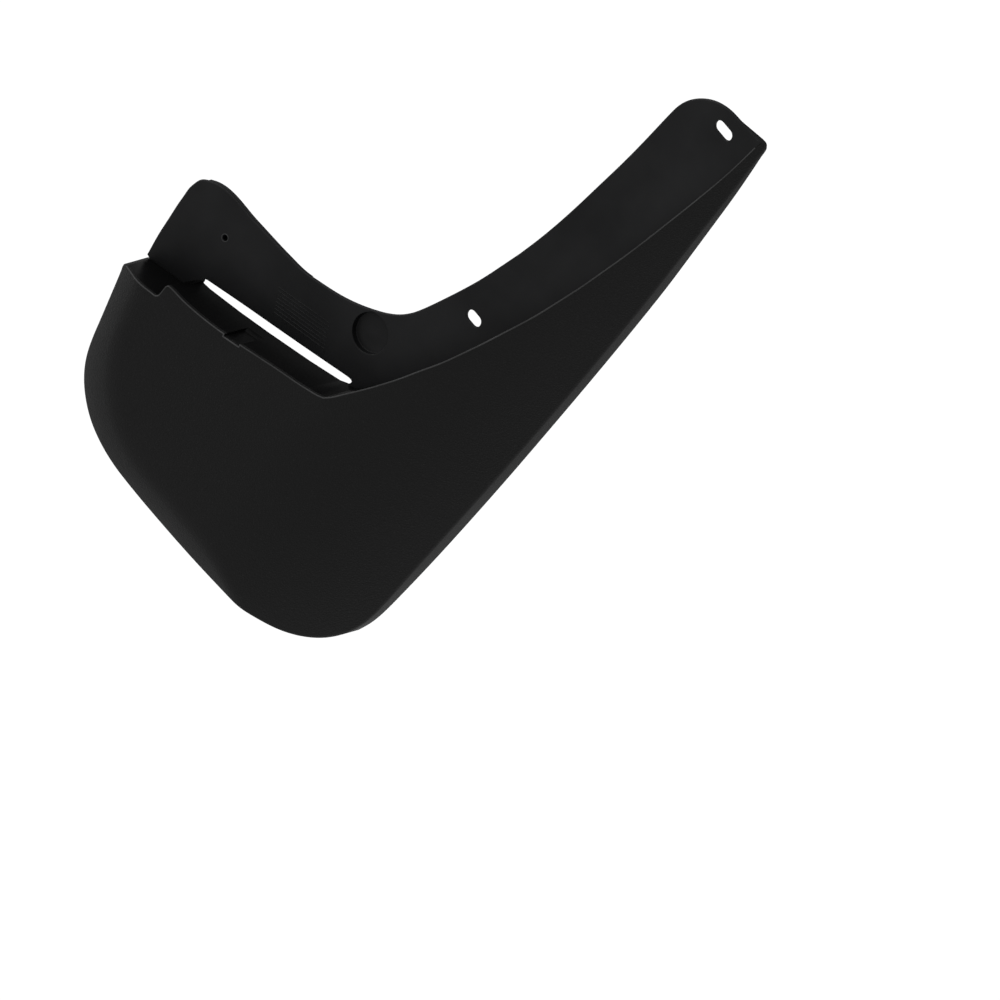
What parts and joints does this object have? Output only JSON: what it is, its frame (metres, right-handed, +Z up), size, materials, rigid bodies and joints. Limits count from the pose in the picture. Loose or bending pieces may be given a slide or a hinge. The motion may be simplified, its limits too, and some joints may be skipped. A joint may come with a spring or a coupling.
{
  "type": "mud flap",
  "caption": "Moulded vehicle mud flap: deep bevelled outer shell with a set-back curved mounting flange carrying screw slots, a pilot boss and a locating cup.",
  "frame": {"origin": "centre of the middle fixing slot, on the front (-Y) face of the mounting flange", "axes": "+Z up as fitted, +X outboard towards the long straight edge, -Y out of the outer face towards a viewer behind the vehicle"},
  "size_m": [0.2569, 0.0569, 0.4636],
  "materials": {
    "grained_plastic": "fine moulded grain, matte",
    "wall_plastic": "smooth moulded, matte",
    "smooth_plastic": "smooth moulded, satin"
  },
  "bodies": {
    "root": {"outer_skin": "grained_plastic", "outboard_rim": "grained_plastic", "tip_lip": "grained_plastic", "edge_return": "grained_plastic", "arch_wall": "wall_plastic", "slot_wall": "wall_plastic", "notch_wall": "wall_plastic", "wall_pocket": "wall_plastic", "stiffening_ribs": "wall_plastic", "mounting_flange": "smooth_plastic", "flange_lip": "smooth_plastic", "locating_cup": "smooth_plastic", "pilot_boss": "smooth_plastic", "date_grid": "smooth_plastic"}
  },
  "joints": []
}
